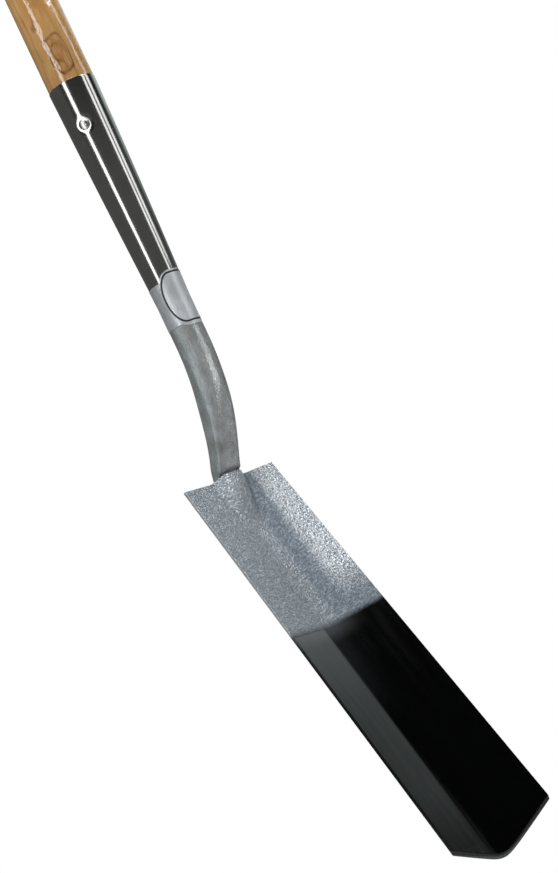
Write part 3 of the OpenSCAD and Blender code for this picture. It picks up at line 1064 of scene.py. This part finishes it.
def painted_light_share(wide, below):
    """Share of painted highlight on the hollow face, or of painted shade where negative."""
    def past(value, start, run):
        return ease((value - start) / run)

    upper = 1 - past(below, *PAINTED_GLINT_DOWN)
    painted_glint = past(wide, *PAINTED_GLINT_ACROSS) * upper
    painted_shade = PAINTED_SHADE_SHARE * past(wide, *PAINTED_SHADE_ACROSS) * (1 - past(wide, *PAINTED_SHADE_END) * upper)
    # Painted highlight on the frog's top
    frog_painted_glint = max(1 - ((wide - FROG_GLINT_MIDDLE) / FROG_GLINT_HALF) ** 2, 0) * (1 - past(below, *FROG_GLINT_DOWN))
    return painted_glint - painted_shade + FROG_GLINT_SHARE * frog_painted_glint


class SPADE_OT_blade(bpy.types.Operator):
    """Press the dished blade with its frog and grind its edge"""

    bl_idname = "spade.blade"
    bl_label = "Blade"

    def execute(self, context):
        sizes, colours = context.scene.spade_sizes, context.scene.spade_colours
        corner = sizes.corner_round / MM
        shares = blade_shares()
        rows = len(shares) - 1

        def spot(across, down):
            side = 2 * across - 1
            below = shares[round(down * rows)] * blade_end(side)
            half = blade_half(below)
            wide = side * half
            a, b = half - abs(wide), blade_end(side) - below
            if a < corner and b < corner:
                u, v = 1 - a / corner, 1 - b / corner
                a = corner * (1 - u * math.sqrt(1 - v * v / 2))
                b = corner * (1 - v * math.sqrt(1 - u * u / 2))
                wide = math.copysign(half - a, side)
                below = blade_end(wide / half) - b
            ground = (BLADE_T - BEVEL_EDGE) * max(1 - b / BEVEL_LEN, 0)
            return on_blade(wide, face_depth(wide, below) + ground, below)

        piece = sheet("dished_blade", BLADE_STEPS, rows, spot)
        # The sheet's thickness: the back follows the hollow face, without the ground edge
        edit(piece, "FACE")
        bpy.ops.mesh.select_all(action="SELECT")
        back = (0, -FRONT[0] * BLADE_T * MM, -FRONT[1] * BLADE_T * MM)
        bpy.ops.mesh.extrude_region_move(TRANSFORM_OT_translate={"value": back})
        leave()
        for vertex in piece.data.vertices:
            if vertex.select:
                wide, _, below = place_on_blade(vertex.co)
                vertex.co = Vector(on_blade(wide, back_depth(wide, below), below)) * MM
        edit(piece, "EDGE")
        face_outwards()
        bpy.ops.mesh.select_all(action="DESELECT")
        bpy.ops.mesh.edges_select_sharp(sharpness=math.radians(50))
        bpy.ops.mesh.bevel(offset=sizes.edge_round, segments=3, affect="EDGES", clamp_overlap=True)
        leave()
        self.mark_paint(piece.data)
        finish_piece(piece, blade_finish(sizes, colours), "blade_paint", 40, "blade")
        return {"FINISHED"}

    def mark_paint(self, mesh):
        """Keeps at each point how near the rim and the ground strip are, and its share of painted
        highlight or painted shade.
        """
        marks = [mesh.attributes.new(name, "FLOAT", "POINT") for name in ("edge", "ground", "rub")]
        for vertex, edge, ground, rub in zip(mesh.vertices, *(mark.data for mark in marks)):
            wide, behind, below = place_on_blade(vertex.co)
            half = blade_half(below)
            above = blade_end(wide / half) - below
            near = min(half - abs(wide), below, above)
            strip = BEVEL_LEN * mix(STRIP_POINT, STRIP_CORNER, abs(wide) / half)
            edge.value = max(1 - near / WORN_RIM, 0)
            ground.value = max(1 - above / strip, 0)
            if behind < face_depth(wide, below) + BLADE_T / 2:
                rub.value = painted_light_share(wide, below)


class SPADE_OT_welds(bpy.types.Operator):
    """Lay the two rippled weld beads along the tail behind the blade"""

    bl_idname = "spade.welds"
    bl_label = "Welds"

    def execute(self, context):
        sizes, colours = context.scene.spade_sizes, context.scene.spade_colours
        ripple, pitch = sizes.weld_ripple / MM, sizes.weld_pitch / MM
        finish = neck_finish(sizes, colours, "weld_paint")
        end = TAIL_DROP + TAIL_LEN

        def bead(around, along):
            """Place on the right bead: up the tail's side, over and down to the blade."""
            below = mix(WELD_TOP, end, along)
            w = tail_half(max(below - TAIL_DROP, 0) / TAIL_LEN) + SEAT_GAP
            root = back_depth(w, below) + SEAT_GAP
            climb = (TAIL_DEPTH + SQUARE_BACK - root) * WELD_CLIMB
            wave = ripple * math.sin(math.tau * (below + 0.6 * math.sin(below * 0.9)) / pitch)
            grow = min(1.0, math.sqrt(max(min(along, 1 - along), 0.0006) / WELD_END))
            k = around * 4
            if k <= 1:
                return w, root + climb * k * grow, below
            if k > 3:
                wide = w + WELD_W * grow * (4 - k)
                return wide, back_depth(wide, below) + SEAT_GAP, below
            a = math.radians(90 * (3 - k) / 2)
            bulge = (1 + WELD_BULGE * math.sin((k - 1) * math.pi / 2)) * grow
            wide = w + (WELD_W * math.cos(a) + wave) * bulge
            rise = (climb - WELD_SKIN) * math.sin(a) + WELD_SKIN + wave * 0.5
            return wide, back_depth(wide, below) + SEAT_GAP + rise * grow, below

        for name, node, hand in (("left_weld", "weld_left", -1), ("right_weld", "weld_right", 1)):
            def spot(around, along):
                wide, deep, below = bead(around, along)
                return on_blade(hand * wide, deep, below)

            piece = sheet(name, WELD_STEPS, WELD_ROWS, spot)
            close_seam(piece)
            fill_ends(piece)
            finish_piece(piece, finish, "weld_paint", 50, node)
        return {"FINISHED"}


class SPADE_OT_label(bpy.types.Operator):
    """Wrap the foil label round the foot of the socket"""

    bl_idname = "spade.label"
    bl_label = "Label"

    def execute(self, context):
        sizes, colours = context.scene.spade_sizes, context.scene.spade_colours
        top, bottom = -SOCKET_LEN + BAND_ABOVE, -SOCKET_LEN - BAND_BELOW
        flat = BADGE_W - BADGE_R

        def reach(x, front):
            """Upper and lower edge of the foil at a place across the badge."""
            if not front or abs(x) >= BADGE_W:
                return top, bottom
            fall = BADGE_R - math.sqrt(BADGE_R**2 - max(abs(x) - flat, 0) ** 2)
            return max(top, top + BADGE_RISE - fall), min(bottom, bottom - BADGE_DROP + fall)

        def spot(around, up):
            turn = math.tau * (around - 0.5)
            r = NECK_R + FOIL_GAP + FOIL_T
            high, low = reach(r * math.sin(turn), math.cos(turn) > 0)
            z = mix(low, high, up)
            r = outer_r(-z) + FOIL_GAP + FOIL_T
            return (r * math.sin(turn), -r * math.cos(turn), z)

        piece = sheet("foil_label", FOIL_STEPS, FOIL_ROWS, spot)
        close_seam(piece)
        wall = piece.modifiers.new("thickness", "SOLIDIFY")
        wall.thickness = FOIL_T * MM
        wall.offset = -1
        select_only(piece)
        bpy.ops.object.modifier_apply(modifier="thickness")
        finish_piece(piece, foil_finish(sizes, colours), "foil", 40, "label")
        return {"FINISHED"}


# Stage, in metres: each light's power, turn round the spade from its front, distance, lower and
# upper end, width, and the height it leans to, if any

LAMPS = {
    "side_light": ("side_light", -74.8, 1.1, -0.66, 1.1, 0.26),
    "strip_light_1": ("strip_light", 22.2, 0.53, -0.145, 0.95, 0.098),
    "strip_light_2": ("strip_light", 41.7, 0.53, -0.08, 0.95, 0.118),
    "wing_light": ("wing_light", 28, 2.0, 0.84, 1.6, 1.0, -0.4),
    "front_light": ("front_light", -40, 1.4, 1.3, 2.3, 1.6, -0.2),
    "back_light": ("back_light", 170, 1.4, 1.5, 2.5, 1.6, -0.2),
    "low_light": ("low_light", 70, 0.45, -0.62, -0.46, 0.06),
    "neck_light": ("neck_light", 17, 0.5, -0.42, -0.12, 0.07),
    "left_light": ("left_light", -105, 1.3, -0.50, -0.05, 0.6),
    "shaft_light": ("shaft_light", -110, 1.3, 0.20, 1.1, 0.8),
    "shaft_fill": ("shaft_fill", 80, 1.3, 0.05, 0.95, 0.8),
}
METAL = ("steel_socket", "steel_rivet", "foil_label", "dished_blade", "left_weld", "right_weld")
# Pieces that some lights fall on alone
LIT = {
    "neck_only": (("bent_neck",), ("low_light", "neck_light", "left_light")),
    "handle_only": (("ash_handle",), ("shaft_light", "shaft_fill")),
    "not_handle": (("bent_neck", *METAL), ("strip_light_1",)),
    "not_neck": (("ash_handle", *METAL), ("card",)),
}
NO_HIGHLIGHT = ("shaft_light", "shaft_fill")

# Card at the right: its place, and its brightness at heights above its lower edge
CARD_X = 0.70
CARD_Y = (-0.25, 0.95)
CARD_Z = (-0.66, 0.60)
CARD_STOPS = (
    (0.0, 0.10), (0.10, 0.50), (0.13, 0.75), (0.20, 1.70), (0.28, 2.05), (0.34, 2.40), (0.39, 3.25),
    (0.43, 4.50), (0.46, 4.40), (0.54, 0.60), (0.66, 0.31), (0.76, 0.65), (0.84, 1.30), (1.0, 1.60),
)

FLOOR_SIZE = 60.0
FLOOR_GAP = 0.0006

# Camera at the photograph's angle: degrees round, up and rolled, distance and offset from its aim
CAMERA_TURN = -45.466
CAMERA_RISE = -6.603
CAMERA_ROLL = -25.368
CAMERA_AWAY = 1.6944
CAMERA_RIGHT = 0.05574
CAMERA_UP = -0.05013
CAMERA_AIM = (0, 0, -0.25)
SENSOR = 36.0
FOCAL_PIXELS = 2200
FRAME_PIXELS = 873


def softbox(name, energy, azimuth, distance, low, high, width, lean_to=None):
    """Upright area light round the spade."""
    light = bpy.data.lights.new(name, "AREA")
    light.shape = "RECTANGLE"
    light.size, light.size_y = width, high - low
    light.energy = energy
    lamp = bpy.data.objects.new(name, light)
    bpy.context.scene.collection.objects.link(lamp)
    lamp.location = (sin(azimuth) * distance, -cos(azimuth) * distance, (low + high) / 2)
    aim = Vector((0, 0, lamp.location.z if lean_to is None else lean_to)) - lamp.location
    lamp.rotation_euler = aim.to_track_quat("-Z", "Y").to_euler()
    lamp.visible_camera = False
    lamp.visible_glossy = name not in NO_HIGHLIGHT


class SPADE_OT_stage(bpy.types.Operator):
    """Set up the floor, the studio light and the camera"""

    bl_idname = "spade.stage"
    bl_label = "Stage"

    def execute(self, context):
        scene, stage = context.scene, context.scene.spade_stage
        scene.view_settings.view_transform = "Standard"
        self.make_world(scene, stage)
        self.make_floor(stage)
        for name, (energy, *place) in LAMPS.items():
            softbox(name, getattr(stage, energy), *place)
        bpy.data.lights["left_light"].color = stage.left_tint
        self.make_card(stage)
        for name, (pieces, lamps) in LIT.items():
            self.aim_at(name, pieces, lamps)
        self.make_camera(scene)
        return {"FINISHED"}

    def aim_at(self, name, pieces, lamps):
        """Lets lamps fall on the named pieces alone."""
        lit = bpy.data.collections.new(name)
        for piece in pieces:
            lit.objects.link(bpy.data.objects[piece])
        for lamp in lamps:
            bpy.data.objects[lamp].light_linking.receiver_collection = lit

    def make_world(self, scene, stage):
        """White room to the eye, a dim one with a dark ceiling in front to what mirrors it."""
        world = scene.world or bpy.data.worlds.new("studio")
        scene.world = world
        world.use_nodes = True
        tree = world.node_tree
        tree.nodes.clear()
        seen = put(tree, "ShaderNodeLightPath").outputs["Is Camera Ray"]
        white = put(tree, "ShaderNodeBackground", {"Color": rgba((1, 1, 1))}).outputs[0]
        xyz = split(tree, put(tree, "ShaderNodeTexCoord").outputs["Generated"])
        glow = calc(tree, "MAXIMUM", span(tree, xyz[2], 0.20, 0.27, 1.0, 0.06),
                    span(tree, xyz[1], 0.0, 0.3))
        dim = {"Color": rgba(stage.room), "Strength": glow}
        room = put(tree, "ShaderNodeBackground", dim).outputs[0]
        both = put(tree, "ShaderNodeMixShader", {0: seen, 1: room, 2: white}).outputs[0]
        put(tree, "ShaderNodeOutputWorld", {"Surface": both})

    def make_card(self, stage):
        """Pale card at the right of the spade, brightest below its middle, fading to the front."""
        clear_selection()
        bpy.ops.mesh.primitive_plane_add(size=1)
        card = start_piece("card")
        for vertex in card.data.vertices:
            along, up = round(vertex.co.x + 0.5), round(vertex.co.y + 0.5)
            vertex.co = (CARD_X, CARD_Y[along], CARD_Z[up])
        material = bpy.data.materials.new("pale_card")
        material.use_nodes = True
        tree = material.node_tree
        tree.nodes.clear()
        xyz = split(tree, put(tree, "ShaderNodeTexCoord").outputs["Object"])
        ramp = put(tree, "ShaderNodeValToRGB", {0: calc(tree, "ADD", xyz[2], -CARD_Z[0])})
        elements = ramp.color_ramp.elements
        for height, _ in CARD_STOPS[1:-1]:
            elements.new(height)
        for element, (height, value) in zip(elements, CARD_STOPS):
            element.position, element.color = height, (value, value, value, 1)
        glow = times(tree, ramp.outputs[0], span(tree, xyz[1], -0.33, 0.12, 0.02, 0.55))
        glow = times(tree, glow, span(tree, xyz[1], 0.20, 0.60, 1.0, 0.4))
        glow = times(tree, glow, span(tree, xyz[2], 0.26, 0.55, 1.0, 0.05))
        # The front edge fades on the card's lower part alone
        front = calc(tree, "MAXIMUM", span(tree, xyz[1], -0.26, -0.16),
                     span(tree, xyz[2], -0.18, -0.12))
        glow = times(tree, times(tree, glow, front), stage.card_light)
        shine = put(tree, "ShaderNodeEmission", {"Color": rgba(stage.card_tint), "Strength": glow})
        put(tree, "ShaderNodeOutputMaterial", {"Surface": shine.outputs[0]})
        card.data.materials.append(material)
        card.visible_camera = False
        card.visible_shadow = False

    def make_floor(self, stage):
        """White floor to the eye from above, clear from below, grey to what mirrors it."""
        clear_selection()
        low = CAD_BOX[0].z - FLOOR_GAP
        bpy.ops.mesh.primitive_plane_add(size=FLOOR_SIZE, location=(0, 0, low))
        floor = start_piece("floor")
        material = bpy.data.materials.new("white_floor")
        material.use_nodes = True
        tree = material.node_tree
        tree.nodes.clear()
        seen = put(tree, "ShaderNodeLightPath").outputs["Is Camera Ray"]
        under = put(tree, "ShaderNodeNewGeometry").outputs["Backfacing"]
        white = put(tree, "ShaderNodeEmission", {"Color": rgba((1, 1, 1))}).outputs[0]
        matt = put(tree, "ShaderNodeBsdfDiffuse", {"Color": rgba(stage.floor)}).outputs[0]
        clear = put(tree, "ShaderNodeBsdfTransparent").outputs[0]
        top = put(tree, "ShaderNodeMixShader", {0: seen, 1: matt, 2: white}).outputs[0]
        both = put(tree, "ShaderNodeMixShader", {0: under, 1: top, 2: clear}).outputs[0]
        put(tree, "ShaderNodeOutputMaterial", {"Surface": both})
        floor.data.materials.append(material)

    def make_camera(self, scene):
        turn, rise, roll = CAMERA_TURN, CAMERA_RISE, CAMERA_ROLL
        back = Vector((sin(turn) * cos(rise), -cos(turn) * cos(rise), sin(rise)))
        right = Vector((cos(turn), sin(turn), 0))
        up = back.cross(right)
        right, up = cos(roll) * right + sin(roll) * up, cos(roll) * up - sin(roll) * right
        place = Vector(CAMERA_AIM) + back * CAMERA_AWAY + right * CAMERA_RIGHT + up * CAMERA_UP
        camera = bpy.data.cameras.new("camera")
        camera.sensor_width = SENSOR
        camera.lens = FOCAL_PIXELS / FRAME_PIXELS * SENSOR
        camera.clip_start, camera.clip_end = 0.05, 100.0
        holder = bpy.data.objects.new("camera", camera)
        scene.collection.objects.link(holder)
        axes = Matrix((right, up, back)).transposed().to_4x4()
        holder.matrix_world = Matrix.Translation(place) @ axes
        scene.camera = holder


class SPADE_PT_panel(bpy.types.Panel):
    """Sizes, colours and pieces of the spade"""

    bl_idname = "SPADE_PT_panel"
    bl_label = "Trenching Spade"
    bl_space_type = "VIEW_3D"
    bl_region_type = "UI"
    bl_category = "Spade"

    def draw(self, context):
        scene = context.scene
        for title, values in (("Sizes", scene.spade_sizes), ("Colours", scene.spade_colours),
                              ("Stage", scene.spade_stage)):
            box = self.layout.box()
            box.label(text=title)
            for name in values.bl_rna.properties.keys():
                if name not in ("rna_type", "name"):
                    box.prop(values, name)
        for operator in OPERATORS:
            self.layout.operator(operator.bl_idname)


OPERATORS = (
    SPADE_OT_handle, SPADE_OT_socket, SPADE_OT_rivet, SPADE_OT_neck, SPADE_OT_blade, SPADE_OT_welds,
    SPADE_OT_label, SPADE_OT_stage,
)
CLASSES = (SpadeSizes, SpadeColours, SpadeStage, *OPERATORS, SPADE_PT_panel)


def register():
    for cls in CLASSES:
        bpy.utils.register_class(cls)
    bpy.types.Scene.spade_sizes = PointerProperty(type=SpadeSizes)
    bpy.types.Scene.spade_colours = PointerProperty(type=SpadeColours)
    bpy.types.Scene.spade_stage = PointerProperty(type=SpadeStage)


def unregister():
    del bpy.types.Scene.spade_sizes, bpy.types.Scene.spade_colours, bpy.types.Scene.spade_stage
    for cls in reversed(CLASSES):
        bpy.utils.unregister_class(cls)


def main():
    register()
    bpy.ops.spade.handle()
    bpy.ops.spade.socket()
    bpy.ops.spade.rivet()
    bpy.ops.spade.neck()
    bpy.ops.spade.blade()
    bpy.ops.spade.welds()
    bpy.ops.spade.label()
    bpy.ops.spade.stage()


if __name__ == "__main__":
    main()
